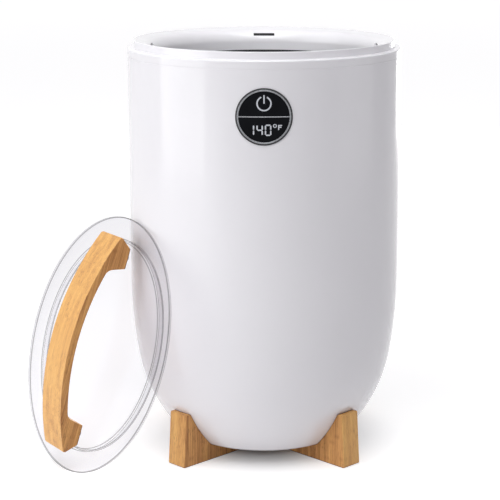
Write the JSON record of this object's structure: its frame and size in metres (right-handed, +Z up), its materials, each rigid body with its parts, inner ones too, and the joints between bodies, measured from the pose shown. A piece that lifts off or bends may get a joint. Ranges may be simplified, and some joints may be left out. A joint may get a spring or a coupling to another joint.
{
  "type": "towel warmer bucket",
  "caption": "Round towel warming bucket with a rounded base on a crossed bar stand, a round button panel in its wall and a clear lid with an arched handle, lid off and leaning.",
  "frame": {"origin": "on the floor under the bucket's axis, in the underside of the stand's crossing", "axes": "+Z up along the bucket's axis, -Y towards the side with the control panel, +X to that side's right; the lid leans at -X, -Y"},
  "size_m": [0.4236, 0.348, 0.461],
  "materials": {
    "white_plastic": "glossy moulded plastic",
    "black_silicone": "matt silicone",
    "pot_aluminium": "satin spun aluminium",
    "screw_steel": "plated screw",
    "heater_foil": "foil",
    "grey_felt": "needled felt",
    "mica_board": "mica board",
    "plate_steel": "galvanised sheet",
    "ceramic_white": "plain ceramic",
    "fuse_metal": "bright metal case",
    "grey_plastic": "matt moulded plastic",
    "bamboo": "lacquered bamboo",
    "black_plastic": "satin moulded plastic",
    "silver_trim": "bright satin trim",
    "black_glass": "polished black window",
    "circuit_board": "solder mask",
    "dark_plastic": "matt moulded plastic",
    "relay_blue": "moulded case",
    "transformer_yellow": "wound core with tape",
    "terminal_green": "moulded block",
    "clear_plastic": "clear polished plastic"
  },
  "bodies": {
    "bucket": {"base_heater": "mica_board", "board_screws": "screw_steel", "bottom_cover": "grey_plastic", "clamp_nut": "screw_steel", "collar_gasket": "black_silicone", "cord_gland": "black_plastic", "cover_screws": "screw_steel", "display_bezel": "silver_trim", "display_board": "circuit_board", "display_lens": "black_glass", "display_screws": "screw_steel", "fuse_clip": "plate_steel", "gland_nut": "black_plastic", "heater_clamp_plate": "plate_steel", "heating_film": "heater_foil", "inner_pot": "pot_aluminium", "insulation_wrap": "grey_felt", "led_module": "dark_plastic", "main_board": "circuit_board", "outer_shell": "white_plastic", "panel_housing": "black_plastic", "panel_retainer": "black_plastic", "pot_screws": "screw_steel", "relay": "relay_blue", "slot_plugs": "black_silicone", "stand_bar_lower": "bamboo", "stand_bar_upper": "bamboo", "stand_screws": "screw_steel", "tactile_switch": "dark_plastic", "temperature_sensor": "fuse_metal", "terminal_block": "terminal_green", "thermal_fuse": "fuse_metal", "thermostat": "ceramic_white", "top_collar": "white_plastic", "transformer": "transformer_yellow"},
    "button": {"power_button": "black_glass", "switch_plunger": "dark_plastic"},
    "lid": {"lid_disc": "clear_plastic", "lid_handle": "bamboo", "lid_screws": "screw_steel", "lid_washers": "screw_steel"}
  },
  "joints": [
    {"name": "button_press", "type": "slide", "parent": "bucket", "child": "button", "axis": [0, 1, 0], "range_m": [0, 0.001], "stiffness_N_per_m": 400, "springref_m": -0.0005},
    {"name": "lid_pull", "type": "slide", "parent": "bucket", "child": "lid", "axis": [-0.7834, -0.5324, 0.3206], "range_m": [0, 0.25]}
  ]
}
